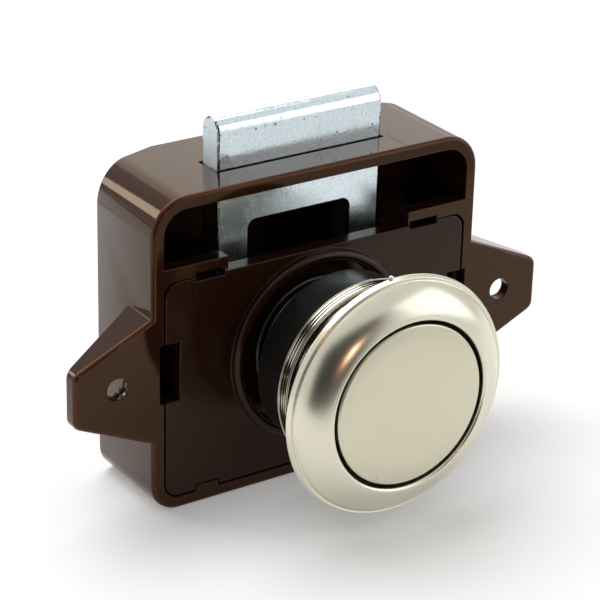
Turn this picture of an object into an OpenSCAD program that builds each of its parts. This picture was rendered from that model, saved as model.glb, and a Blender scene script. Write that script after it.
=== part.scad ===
// Pushbutton cabinet lock for a board door. A moulded case is screwed behind the door, a latch
// bolt leaves it at the top, and a push knob comes through the door inside a metal rosette.
// X runs to the right seen from the front of the door, Y into the cabinet and Z up.
// The origin lies midway between the two screw holes, on the face that meets the door.
// The model is drawn locked: knob flush with the rosette, bolt out.

/* [Case] */
// Width of the case across its side walls
case_w = 50; // [48:0.5:58]
// Height of the case above the screw holes
case_rise = 24.1; // [22:0.1:30]
// Depth of the case below the screw holes
case_drop = 19.5; // [18.5:0.1:26]
// Depth of the case at the middle of its back
case_depth = 17; // [17:0.25:22]
// Depth of the case at its side walls
side_depth = 14; // [12:0.2:15]
// Width of the flat middle of the back
back_flat_w = 31; // [26:1:36]
// Thickness of the side, top and bottom walls
wall = 1.75; // [1.5:0.05:2.2]
// Thickness of the back wall
back_wall = 1.5; // [1.2:0.1:1.5]
// Outer radius of the two upper corners
top_corner_r = 5; // [4:0.5:7]
// Outer radius of the two lower corners
bottom_corner_r = 4; // [3:0.5:6]

/* [Ears] */
// Distance between the two screw holes
hole_spacing = 60; // [58:0.5:70]
// Diameter of a screw hole
hole_d = 3; // [2.8:0.1:4.2]
// Material between a hole's centre and the ear's tip
ear_end = 6.25; // [5:0.25:9]
// Height of an ear where it leaves the case
ear_root_h = 17.5; // [14:0.1:20]
// Distance of an ear's middle below its screw hole
ear_drop = 0.45; // [0:0.05:0.6]
// Slope of an ear's upper and lower edges, in degrees
ear_slope = 24.4; // [15:0.2:26]
// Radius of an ear's corners at the tip
ear_tip_r = 1.5; // [1:0.1:2]
// Depth of an ear's ribs at the case
ear_root_depth = 6; // [4:0.25:9]
// Depth of an ear at its tip
ear_tip_depth = 2; // [1.8:0.1:3]
// Thickness of the plate that holds the hole
ear_plate = 1.5; // [1.2:0.1:1.7]
// Thickness of the ribs along an ear's edges
ear_rib = 1.3; // [1:0.1:1.6]

/* [Cover plate] */
// Thickness of the cover plate
cover_t = 2.2; // [1.8:0.1:2.4]
// Height of the cover plate's upper edge above the screw holes
cover_top = 12.75; // [11:0.25:14]
// Seam between the cover plate and the case
cover_gap = 0.2; // [0.1:0.05:0.3]
// Radius of the cover plate's corners
cover_corner_r = 2; // [1:0.25:2.5]
// Height of the clip windows beside the cover plate
clip_h = 8.2; // [5:0.2:10]
// Distance that a clip window reaches into the cover plate
clip_reach = 2.1; // [1.8:0.1:2.6]
// Height of a clip window's middle above the screw holes
clip_mid = 0.35; // [-1:0.05:1.5]
// Depth of the catch that a snap leg hooks into
clip_catch = 0.6; // [0.4:0.1:0.8]
// Thickness of a snap leg
leg_t = 1.4; // [1:0.1:1.6]
// Length of a snap leg from the cover plate to its hook
leg_len = 5.4; // [4:0.2:6]
// Length of a snap leg's hook
hook_len = 2.6; // [2:0.1:3]
// Width of the two nibs that set the cover plate's lower edge
nib_w = 3.4; // [2.4:0.1:5]
// Height of a nib
nib_h = 0.9; // [0.5:0.1:1.2]
// Width of the ledges that the cover plate lies on
ledge_w = 1.3; // [1:0.1:1.6]

/* [Tabs] */
// Distance between the inner ends of the two tabs
tab_span = 27.8; // [27:0.2:32]
// Height of a tab
tab_h = 1.9; // [1.4:0.1:2.6]
// Width of the slot under a tab
tab_slot_w = 4.3; // [3:0.1:6]
// Height of the slot under a tab
tab_slot_h = 1; // [0.6:0.1:1.3]

/* [Collar] */
// Inner diameter of the collar round the knob
collar_d = 23.6; // [22.6:0.1:24.4]
// Wall of the collar
collar_wall = 1.5; // [1:0.1:2]
// Height of the collar in front of the case
collar_rise = 1.2; // [0.8:0.1:2]
// Thickness of the collar's floor, which carries the spring and guides the slider
floor_t = 1.7; // [1.4:0.1:2]
// Distance that the collar's floor stands behind the cover plate
floor_step = 0.8; // [0.6:0.1:0.9]

/* [Latch bolt] */
// Width of the bolt
bolt_w = 25; // [24:0.25:26]
// Thickness of the bolt
bolt_t = 3.9; // [3.4:0.1:4.2]
// Distance from the door's back to the bolt's front
bolt_front = 5; // [4.8:0.1:5.4]
// Height of the bolt's nose above the case, which is also its stroke
bolt_reach = 6.75; // [5.5:0.05:7.2]
// Width of the window in the bolt
window_w = 15.4; // [14:0.2:16.4]
// Height of the window's upper edge above the screw holes
window_top = 16.3; // [15.5:0.1:18.5]
// Thickness of the rails that guide the bolt
guide_w = 1.8; // [1.4:0.1:2.2]
// Radius of the window's corners
window_r = 1; // [0.6:0.1:1.5]
// Diameter of the cross pin
pin_d = 2.5; // [2:0.1:2.8]

/* [Knob] */
// Distance of the knob's axis below the screw holes
knob_drop = 0.85; // [0:0.05:1.2]
// Diameter of the button's face
button_d = 22; // [20:0.2:22.2]
// Distance from the door's back to the button's face
button_face = 21; // [20:0.25:32]
// Stroke of the knob between locked and released
button_travel = 6; // [5:0.1:6]
// Further travel past the locked place that frees the follower
overtravel = 0.7; // [0.4:0.1:0.8]
// Thickness of the cap's face
cap_t = 0.8; // [0.6:0.1:1.2]
// Thickness of the cap's side
cap_wall = 0.6; // [0.4:0.1:0.8]
// Radius of the cap's edge
cap_edge_r = 0.4; // [0.2:0.1:0.5]
// Diameter of the black skirt
skirt_d = 24; // [23.4:0.1:24.4]
// Wall of the skirt
skirt_wall = 1.3; // [1:0.1:1.4]
// Distance from the door's back to the skirt's end
skirt_end = 4.2; // [3:0.2:6]
// Distance from the skirt's shoulder back to the spring's seat
seat_t = 2.1; // [1.6:0.1:3]
// Shank diameter of the knob screw
screw_d = 3; // [2.5:0.1:4]
// Head diameter of the knob screw
screw_head_d = 6; // [5:0.25:8]
// Head height of the knob screw
screw_head_t = 2.2; // [1.6:0.1:2.6]

/* [Cam slider] */
// Width of the slider's tongue
tongue_w = 9.2; // [8.4:0.1:9.6]
// Height of the tongue above the knob's axis
tongue_up = 6.8; // [6.4:0.1:6.9]
// Depth of the tongue below the knob's axis
tongue_down = 6.2; // [5.8:0.1:6.6]
// Diameter of the boss that plugs into the knob body
boss_d = 15.8; // [14:0.2:16]
// Length of the boss inside the knob body
boss_grip = 4.5; // [3:0.25:5]
// Length of the boss behind the knob body's spring seat
boss_step = 3; // [2:0.25:4]
// Height of the cross pin above the knob's axis when locked
pin_rise = 3.2; // [2.8:0.1:3.4]
// Depth of the heart-shaped track
track_depth = 1; // [0.8:0.1:1.2]
// Half width of the pocket round the track's island
track_half = 3.3; // [3:0.1:3.5]
// Radius of the two lobes of the island
lobe_r = 1.15; // [1:0.05:1.25]

/* [Follower wire] */
// Diameter of the follower wire
follower_d = 0.8; // [0.6:0.1:0.9]
// Distance between the two legs of the wire
follower_span = 7.2; // [6.6:0.2:8]

/* [Main spring] */
// Wire diameter of the main spring
spring_wire = 0.9; // [0.7:0.05:1]
// Mean diameter of the main spring
spring_d = 18.2; // [18:0.1:18.6]
// Turns between the two closed ends
spring_turns = 4; // [3:0.5:6]

/* [Rosette] */
// Outer diameter of the rosette
rosette_d = 33; // [31:0.5:40]
// Distance from the door's back to the rosette's seat, the thickness of the door
rosette_seat = 17.2; // [16.6:0.1:17.4]
// Radius of the bead round the rosette's edge
rim_r = 0.45; // [0.3:0.05:0.6]
// Radius of the domed front in section
dome_r = 5.5; // [4.5:0.1:9]
// Distance that the rosette's lip stands past the button's face
lip_rise = 0.15; // [0:0.05:0.4]
// Thickness of the lip that stops the knob when it is released
lip_t = 1.25; // [1:0.05:1.5]
// Gap between the button and the rosette's opening
button_gap = 0.4; // [0.3:0.05:0.6]
// Outer diameter of the barrel over its ridges
barrel_d = 26.4; // [26.2:0.1:28]
// Distance from the door's back to the barrel's end
barrel_end = 10.5; // [8:0.25:12]
// Width of a ridge on the barrel
ridge_w = 1.8; // [1:0.1:2]
// Width of a groove between the ridges
groove_w = 0.5; // [0.3:0.1:0.8]
// Depth of a groove
groove_depth = 0.4; // [0.2:0.05:0.5]
// Number of ridges on the barrel
ridges = 2; // [1:1:2]

/* [Fits] */
// Room between pieces that move past each other
clear = 0.3; // [0.2:0.05:0.35]
// Room between pieces that are seated in each other
seat = 0.05; // [0.02:0.01:0.1]
// Room on each side of the cross pin in the slider's slot
slot_clear = 0.12; // [0.05:0.01:0.2]

/* [Hidden] */
$fn = 96;
brown = "#3d2620";
nickel = "#cfcbbd";
black = "#1c1b1b";
zinc = "#c3ccd2";
steel = "#9a9ea3";

// Extra length by which a cut runs past the face that it opens
past = 1;

// Case
half_w = case_w / 2;
inner_half = half_w - wall;
inner_top = case_rise - wall;
inner_bottom = wall - case_drop;
inner_back = case_depth - back_wall;
bevel = atan((case_depth - side_depth) / (half_w - back_flat_w / 2));
inner_flat = back_flat_w / 2 - back_wall * tan(bevel / 2);
inner_side_depth = inner_back - (inner_half - inner_flat) * tan(bevel);

// Ears
hole_x = hole_spacing / 2;
ear_tip = hole_x + ear_end;

// Cover plate and what holds it
cover_half = inner_half - cover_gap;
cover_bottom = inner_bottom + cover_gap;
clip_inner = cover_half - clip_reach;
clip_low = clip_mid - clip_h / 2;
clip_high = clip_mid + clip_h / 2;
clip_play = 0.6;
hook_y = cover_t + leg_len;
hook_tip = 0.7;
tab_slot_x = tab_span / 2 + 0.4;
nib_x = tab_slot_x + tab_slot_w / 2 + 0.3;
ledge_depth = 3;

// Bolt, its stroke and the pin
bolt_back = bolt_front + bolt_t;
bolt_mid = bolt_front + bolt_t / 2;
bolt_top = case_rise + bolt_reach;
bolt_bottom = inner_bottom + clear + bolt_reach;
window_bottom = -knob_drop - tongue_down - clear;
pin_z = pin_rise - knob_drop;
guide_top = cover_top - 0.75;
rib_w = 2;
rib_edge = bolt_w / 2 - 1;

// Knob stack, as distances out from the door's back
cap_inner_r = button_d / 2 - cap_wall;
lip_front = button_face + lip_rise;
lip_back = lip_front - lip_t;
shoulder = lip_back - button_travel - clear;
floor_back = cover_t + floor_step;
spring_ledge = floor_back - floor_t;
spring_seat = shoulder - seat_t;
socket_end = spring_seat + boss_grip;
boss_start = spring_seat - boss_step;
cavity_r = skirt_d / 2 - skirt_wall;
screw_seat = button_face - cap_t - screw_head_t - clear;
screw_end = boss_start + past;

// Slider and its slot
tongue_end = inner_back - overtravel - clear;
slot_w = pin_d + 2 * slot_clear;
slope = bolt_reach / button_travel;

// Heart-shaped track, in the plane of the tongue's underside
follower_y = (floor_back + bolt_front - clear) / 2;
tip_room = follower_d / 2 + clear / 2;
track_in = follower_y - overtravel - tip_room;
track_out = follower_y + button_travel + tip_room;
track_z = -knob_drop - tongue_down;
tip_z = track_z + track_depth - clear;
wire_grip = 3.5;
wire_boss_half = 1.3;

// Rosette
opening_r = button_d / 2 + button_gap;
bore_r = skirt_d / 2 + clear - seat;
barrel_r = barrel_d / 2;
rim_out = rosette_seat + rim_r;
crease_r = rosette_d / 2 - rim_r - rim_r / 3;

// Extrudes a profile drawn in X and Z from one depth to another
module along_y(from, to) {
    translate([0, to, 0]) rotate([90, 0, 0]) linear_extrude(to - from) children();
}

// Extrudes a profile drawn in X and Y from one height to another
module along_z(from, to) {
    translate([0, 0, from]) linear_extrude(to - from) children();
}

// Extrudes a profile drawn in Y and Z over a width that is centred on X = 0
module across_x(width) {
    translate([-width / 2, 0, 0]) rotate([90, 0, 90]) linear_extrude(width) children();
}

// Turns a profile about the knob's axis: first coordinate the radius, second the distance out
module turned() {
    translate([0, 0, -knob_drop]) rotate([90, 0, 0]) rotate_extrude() children();
}

// Box between pairs of low and high values
module block(x, y, z) {
    translate([x[0], y[0], z[0]]) cube([x[1] - x[0], y[1] - y[0], z[1] - z[0]]);
}

// Flat box of a turned profile: radii and distances out
module band(r, out) {
    translate([r[0], out[0]]) square([r[1] - r[0], out[1] - out[0]]);
}

module both_sides() {
    children();
    mirror([1, 0, 0]) children();
}

// Upright outline with round corners, given by its half width, its ends and its corner radii
module rounded(half, bottom, top, rb, rt) {
    polygon([[-half, bottom + rb], [rb - half, bottom], [half - rb, bottom], [half, bottom + rb],
             [half, top - rt], [half - rt, top], [rt - half, top], [-half, top - rt]]);
    for (s = [-1, 1]) {
        translate([s * (half - rb), bottom + rb]) circle(rb);
        translate([s * (half - rt), top - rt]) circle(rt);
    }
}

// Plan of the case or of its hollow: straight sides and a back that is bevelled on both sides
module back_plan(half, front, side, flat, back) {
    polygon([[-half, front], [half, front], [half, side], [flat, back], [-flat, back], [-half, side]]);
}

// Outline of the right ear, shrunk all round by an inset
module ear_outline(inset) {
    root = half_w - wall / 2;
    r = max(ear_tip_r - inset, 0.2);
    mid_x = ear_tip - inset - r;
    mid_z = ear_root_h / 2 - (mid_x - half_w) * tan(ear_slope) - (inset + r) / cos(ear_slope);
    root_z = mid_z + (mid_x - root) * tan(ear_slope) + r / cos(ear_slope);
    touch = [mid_x + r * sin(ear_slope), mid_z + r * cos(ear_slope)];
    polygon([[root, -root_z], [touch[0], -touch[1]], [mid_x + r, -mid_z], [mid_x + r, mid_z],
             touch, [root, root_z]]);
    for (s = [-1, 1]) translate([mid_x, s * mid_z]) circle(r);
}

// Right ear: a plate with ribs along its edges that grow shallow towards the tip
module ear() {
    difference() {
        intersection() {
            along_y(0, ear_root_depth) translate([0, -ear_drop]) ear_outline(0);
            along_z(-ear_root_h, ear_root_h)
                polygon([[half_w - wall, 0], [ear_tip, 0], [ear_tip, ear_tip_depth],
                         [half_w, ear_root_depth], [half_w - wall, ear_root_depth]]);
        }
        intersection() {
            along_y(ear_plate, ear_root_depth + past) translate([0, -ear_drop]) ear_outline(ear_rib);
            block([half_w, ear_tip], [0, ear_root_depth + past], [-ear_root_h, ear_root_h]);
        }
        translate([hole_x, -past, 0]) rotate([-90, 0, 0]) cylinder(d = hole_d, h = ear_root_depth);
    }
}

// Channel on the right that guides the bolt's edge and back
module bolt_guide() {
    edge = bolt_w / 2 + clear;
    root = inner_back + back_wall / 3;
    along_z(inner_bottom - wall / 2, guide_top)
        polygon([[edge, bolt_front], [edge + guide_w, bolt_front], [edge + guide_w, root],
                 [edge - guide_w, root], [edge - guide_w, bolt_back + clear], [edge, bolt_back + clear]]);
}

// Right tab over the cover plate, with the slot under it
module tab() {
    inner = tab_span / 2;
    low = cover_top + cover_gap / 2;
    difference() {
        block([inner, half_w - wall / 2], [0, cover_t], [low, low + tab_h]);
        block([tab_slot_x, tab_slot_x + tab_slot_w], [-past, cover_t + past],
              [low - past, low + tab_slot_h / 2]);
    }
}

// Corner between the right tab and the side wall, hollowed round the cover plate's corner
module tab_corner() {
    middle = [cover_half - cover_corner_r, cover_top - cover_corner_r];
    along_y(0, cover_t) difference() {
        translate(middle) square([half_w - wall / 2, cover_top + tab_h / 2] - middle);
        translate(middle) circle(cover_corner_r + 1.5 * cover_gap);
    }
}

// Ledges on the right wall that the cover plate lies on, above and below its snap leg
module cover_ledges() {
    straight = bottom_corner_r - wall + inner_bottom;
    for (z = [[straight, clip_low - past], [clip_high + past, cover_top]])
        block([inner_half - ledge_w, inner_half + wall / 2], [cover_t, cover_t + ledge_depth], z);
}

module case() {
    color(brown) difference() {
        union() {
            difference() {
                intersection() {
                    along_y(0, case_depth)
                        rounded(half_w, -case_drop, case_rise, bottom_corner_r, top_corner_r);
                    along_z(-case_drop, case_rise)
                        back_plan(half_w, 0, side_depth, back_flat_w / 2, case_depth);
                }
                intersection() {
                    along_y(-past, case_depth)
                        rounded(inner_half, inner_bottom, inner_top,
                                bottom_corner_r - wall, top_corner_r - wall);
                    along_z(-case_drop, case_rise)
                        back_plan(inner_half, -past, inner_side_depth, inner_flat, inner_back);
                }
            }
            both_sides() {
                ear();
                bolt_guide();
                tab();
                tab_corner();
                cover_ledges();
                block([nib_x - nib_w / 2, nib_x + nib_w / 2], [0, cover_t],
                      [inner_bottom - wall / 2, inner_bottom + nib_h]);
            }
        }
        block([-bolt_w / 2 - clear, bolt_w / 2 + clear], [bolt_front - clear, bolt_back + clear],
              [inner_top - past, case_rise + past]);
        both_sides() {
            block([inner_half - past, inner_half + clip_catch], [-past, cover_t - clear],
                  [clip_low, clip_high]);
            block([inner_half - past, inner_half + clip_catch + clear],
                  [hook_y - clear, hook_y + hook_len], [clip_low, clip_high]);
        }
    }
}

// Right snap leg: it runs back from the cover plate and hooks into the case's wall
module snap_leg() {
    tip = inner_half + clip_catch - seat;
    end = hook_y + hook_len;
    along_z(clip_low + clip_play, clip_high - clip_play)
        polygon([[clip_inner - leg_t, cover_t / 2], [clip_inner, cover_t / 2], [clip_inner, hook_y],
                 [tip, hook_y], [tip, hook_y + hook_tip], [clip_inner, end], [clip_inner - leg_t, end]]);
}

// Boss that the fixed leg of the follower wire is pressed into
module wire_boss() {
    block([follower_span - wire_boss_half, follower_span + wire_boss_half],
          [cover_t / 2, bolt_front - clear], [track_z - wire_grip, track_z + wire_boss_half]);
}

module cover_plate() {
    color(brown) difference() {
        union() {
            along_y(0, cover_t)
                rounded(cover_half, cover_bottom, cover_top, cover_corner_r, cover_corner_r);
            turned() {
                collar_r = collar_d / 2;
                band([0, collar_r + collar_wall], [-floor_back, 0]);
                band([collar_r, collar_r + collar_wall], [-cover_t / 2, collar_rise - collar_wall / 2]);
                translate([collar_r + collar_wall / 2, collar_rise - collar_wall / 2])
                    circle(collar_wall / 2);
            }
            both_sides() {
                snap_leg();
                block([rib_edge - rib_w, rib_edge], [cover_t / 2, bolt_front - clear],
                      [cover_bottom + rib_w, cover_top - rib_w]);
            }
            wire_boss();
        }
        turned() band([0, collar_d / 2], [-spring_ledge, collar_rise + past]);
        block([-tongue_w / 2 - clear, tongue_w / 2 + clear], [0, floor_back + past],
              [window_bottom, tongue_up + clear - knob_drop]);
        both_sides() {
            block([clip_inner, cover_half + past], [-past, cover_t + past],
                  [clip_low, clip_high]);
            block([nib_x - nib_w / 2 - cover_gap / 2, nib_x + nib_w / 2 + cover_gap / 2],
                  [-past, cover_t + past], [cover_bottom - past, inner_bottom + nib_h + cover_gap / 2]);
            block([tab_slot_x, tab_slot_x + tab_slot_w], [-past, cover_t + past],
                  [cover_top - tab_slot_h / 2, cover_top + past]);
        }
        translate([follower_span, follower_y, track_z - wire_grip - past])
            cylinder(d = follower_d + 2 * seat, h = wire_grip + past + 2 * seat);
    }
}

module latch_bolt() {
    color(zinc) difference() {
        union() {
            block([-bolt_w / 2, bolt_w / 2], [bolt_front, bolt_back],
                  [bolt_bottom, bolt_top - bolt_t / 2]);
            translate([-bolt_w / 2, bolt_mid, bolt_top - bolt_t / 2]) rotate([0, 90, 0])
                cylinder(d = bolt_t, h = bolt_w);
        }
        along_y(bolt_front - past, bolt_back + past)
            rounded(window_w / 2, window_bottom, window_top, window_r, window_r);
        translate([-half_w, bolt_mid, pin_z]) rotate([0, 90, 0])
            cylinder(d = pin_d + 2 * seat, h = case_w);
    }
}

module cross_pin() {
    length = bolt_w - 2 * clear;
    color(steel) translate([-length / 2, bolt_mid, pin_z]) rotate([0, 90, 0])
        cylinder(d = pin_d, h = length);
}

// Inclined slot, seen from the side: it falls towards the back and is open there
module slot_profile() {
    translate([bolt_mid, pin_z]) rotate(-atan(slope)) {
        lead = overtravel * sqrt(1 + slope * slope);
        translate([-lead, 0]) circle(d = slot_w);
        translate([-lead, -slot_w / 2]) square([2 * case_depth, slot_w]);
    }
}

// Heart-shaped island, with the notch in which the follower's tip rests when locked
module heart() {
    lobe_x = lobe_r - clear / 3;
    lobe_y = follower_y + tip_room + lobe_r * 0.65;
    base_y = lobe_y + lobe_r / 3;
    difference() {
        union() {
            for (s = [-1, 1]) translate([s * lobe_x, lobe_y]) circle(lobe_r);
            polygon([[-lobe_x - lobe_r * 0.9, base_y], [lobe_x + lobe_r * 0.9, base_y],
                     [0, track_out - 2 * tip_room - clear]]);
        }
        translate([0, follower_y]) circle(tip_room);
    }
}

module cam_slider() {
    color(black) difference() {
        union() {
            block([-tongue_w / 2, tongue_w / 2], [-boss_start - past, tongue_end],
                  [track_z, tongue_up - knob_drop]);
            turned() band([0, boss_d / 2], [boss_start, socket_end - clear]);
        }
        across_x(tongue_w + 2 * past) slot_profile();
        along_z(track_z - past, track_z + track_depth) difference() {
            translate([-track_half, track_in]) square([2 * track_half, track_out - track_in]);
            heart();
        }
        turned() band([0, screw_d / 2 + seat], [screw_end - clear, socket_end + past]);
    }
}

// Centre line of the coil at a share t of its length: closed turns at both ends, even pitch between
function coil_rise(t, length, turns) =
    let (all = turns + 2, at = t * all, open = length - 3 * spring_wire)
    at < 1 ? spring_wire * (0.5 + at)
    : at > all - 1 ? length - spring_wire * (0.5 + all - at)
    : spring_wire * 1.5 + open * (at - 1) / turns;

// Coil spring of round wire, as one closed tube along a helix
module coil(length, mean_d, turns, sides = 10, per_turn = 28) {
    count = (turns + 2) * per_turn;
    rings = [for (i = [0:count], j = [0:sides - 1])
        let (t = i / count, a = 360 * i / per_turn, b = 360 * j / sides,
             r = mean_d / 2 + spring_wire / 2 * cos(b))
        [r * cos(a), r * sin(a), coil_rise(t, length, turns) + spring_wire / 2 * sin(b)]];
    side_faces = [for (i = [0:count - 1], j = [0:sides - 1])
        let (k = (j + 1) % sides)
        [i * sides + j, (i + 1) * sides + j, (i + 1) * sides + k, i * sides + k]];
    ends = [[for (j = [0:sides - 1]) j], [for (j = [sides - 1:-1:0]) count * sides + j]];
    polyhedron(rings, concat(side_faces, ends), convexity = 10);
}

module main_spring() {
    color(steel) translate([0, spring_ledge - seat, -knob_drop]) rotate([90, 0, 0])
        coil(spring_ledge + spring_seat - 2 * seat, spring_d, spring_turns);
}

module follower_wire() {
    bend_z = inner_bottom + clear + (follower_span + follower_d) / 2;
    color(steel) translate([0, follower_y, 0]) {
        translate([0, 0, bend_z]) cylinder(d = follower_d, h = tip_z - bend_z);
        translate([follower_span, 0, bend_z]) cylinder(d = follower_d, h = track_z - bend_z);
        translate([follower_span / 2, 0, bend_z]) rotate([90, 180, 0])
            rotate_extrude(angle = 180) translate([follower_span / 2, 0]) circle(d = follower_d);
    }
}

module knob_body() {
    front = button_face - cap_t;
    color(black) turned() difference() {
        union() {
            band([0, cap_inner_r - seat], [spring_seat, front]);
            band([0, skirt_d / 2], [skirt_end, shoulder]);
        }
        band([0, cavity_r], [skirt_end - past, spring_seat]);
        band([0, boss_d / 2 + seat], [skirt_end, socket_end]);
        band([0, screw_d / 2 + clear], [skirt_end, front + past]);
        band([0, screw_head_d / 2 + clear], [screw_seat, front + past]);
    }
}

module knob_screw() {
    color(steel) turned() {
        band([0, screw_head_d / 2], [screw_seat, screw_seat + screw_head_t]);
        band([0, screw_d / 2], [screw_end, screw_seat + screw_head_t / 2]);
    }
}

module button_cap() {
    r = button_d / 2;
    color(nickel) turned() difference() {
        union() {
            band([0, r], [shoulder + seat, button_face - cap_edge_r]);
            band([0, r - cap_edge_r], [shoulder + seat, button_face]);
            translate([r - cap_edge_r, button_face - cap_edge_r]) circle(cap_edge_r);
        }
        band([0, cap_inner_r], [shoulder - past, button_face - cap_t]);
    }
}

// Section of the dome: the part of a circle through the crease and the opening's lip
module dome_section() {
    a = [crease_r, rim_out];
    b = [opening_r, lip_front];
    chord = norm(a - b);
    normal = [lip_front - rim_out, crease_r - opening_r] / chord;
    centre = (a + b) / 2 - normal * sqrt(dome_r * dome_r - chord * chord / 4);
    intersection() {
        translate(centre) circle(dome_r);
        band([opening_r, crease_r], [rosette_seat, lip_front]);
    }
}

module rosette() {
    color(nickel) turned() difference() {
        union() {
            dome_section();
            band([opening_r, rosette_d / 2 - rim_r], [rosette_seat, rim_out]);
            translate([rosette_d / 2 - rim_r, rim_out]) circle(rim_r);
            band([opening_r, barrel_r - groove_depth], [barrel_end + groove_w, rosette_seat + rim_r]);
            for (i = [0:ridges - 1]) {
                low = barrel_end + i * (ridge_w + groove_w);
                band([opening_r, barrel_r], [low, low + ridge_w]);
            }
        }
        band([0, bore_r], [barrel_end - past, lip_back]);
    }
}

case();
cover_plate();
latch_bolt();
cross_pin();
cam_slider();
main_spring();
follower_wire();
knob_body();
knob_screw();
button_cap();
rosette();
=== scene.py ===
import math

import bmesh
import bpy
import numpy as np
from bpy.props import FloatProperty, FloatVectorProperty, IntProperty, PointerProperty
from bpy.types import Operator, Panel, PropertyGroup
from mathutils import Matrix, Quaternion, Vector


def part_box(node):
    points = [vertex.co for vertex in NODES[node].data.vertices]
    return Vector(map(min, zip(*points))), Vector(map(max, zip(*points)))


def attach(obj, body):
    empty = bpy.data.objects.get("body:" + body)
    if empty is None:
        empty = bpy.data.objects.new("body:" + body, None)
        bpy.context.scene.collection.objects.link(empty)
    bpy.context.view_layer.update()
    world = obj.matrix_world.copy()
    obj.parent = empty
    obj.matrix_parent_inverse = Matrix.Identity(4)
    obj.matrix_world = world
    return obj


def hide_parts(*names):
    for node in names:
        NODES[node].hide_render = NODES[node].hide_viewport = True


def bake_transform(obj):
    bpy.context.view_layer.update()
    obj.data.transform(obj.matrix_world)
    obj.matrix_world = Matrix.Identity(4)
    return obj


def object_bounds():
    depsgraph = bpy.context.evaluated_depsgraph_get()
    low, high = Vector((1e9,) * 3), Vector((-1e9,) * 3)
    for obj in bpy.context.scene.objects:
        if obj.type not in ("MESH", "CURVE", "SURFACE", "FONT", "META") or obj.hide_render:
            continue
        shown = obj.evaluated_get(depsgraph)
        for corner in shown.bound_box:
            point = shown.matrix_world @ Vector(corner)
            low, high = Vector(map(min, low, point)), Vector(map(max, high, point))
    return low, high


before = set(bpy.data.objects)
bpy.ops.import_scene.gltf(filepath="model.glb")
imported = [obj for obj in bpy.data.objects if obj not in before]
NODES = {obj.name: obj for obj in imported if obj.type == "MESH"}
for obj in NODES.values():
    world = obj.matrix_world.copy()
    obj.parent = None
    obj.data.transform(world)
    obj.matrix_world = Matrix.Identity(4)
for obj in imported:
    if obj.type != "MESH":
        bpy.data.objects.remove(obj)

bl_info = {
    "name": "Pushbutton cabinet lock",
    "version": (1, 0, 0),
    "blender": (4, 5, 0),
    "location": "View3D > Sidebar > Cabinet lock",
    "description": "Builds the finished surfaces of a pushbutton cabinet lock round its CAD solids",
    "category": "Object",
}

MM = 0.001
CAD_BOX = [[float(c) for c in corner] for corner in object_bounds()]
ROSETTE_LOW, ROSETTE_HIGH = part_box("rosette")
BUTTON_LOW, BUTTON_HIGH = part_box("button_cap")
KNOB_LOW, KNOB_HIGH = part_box("knob_body")
SPRING_LOW, SPRING_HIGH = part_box("main_spring")
CASE_LOW, CASE_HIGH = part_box("case")
BOLT_LOW, BOLT_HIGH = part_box("latch_bolt")
AXIS_Z = (ROSETTE_LOW[2] + ROSETTE_HIGH[2]) / 2
# Distance in front of the case at which the rosette lies on the door
SEAT = -ROSETTE_LOW[1] - 3.95 * MM
# Points of a copied solid that are merged, and the angles that part flat, sharp and smooth edges
MERGED = 0.002 * MM
FLAT, SHARP, SMOOTH = (math.radians(angle) for angle in (0.4, 28, 40))
BEVEL_STEPS = 3


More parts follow.
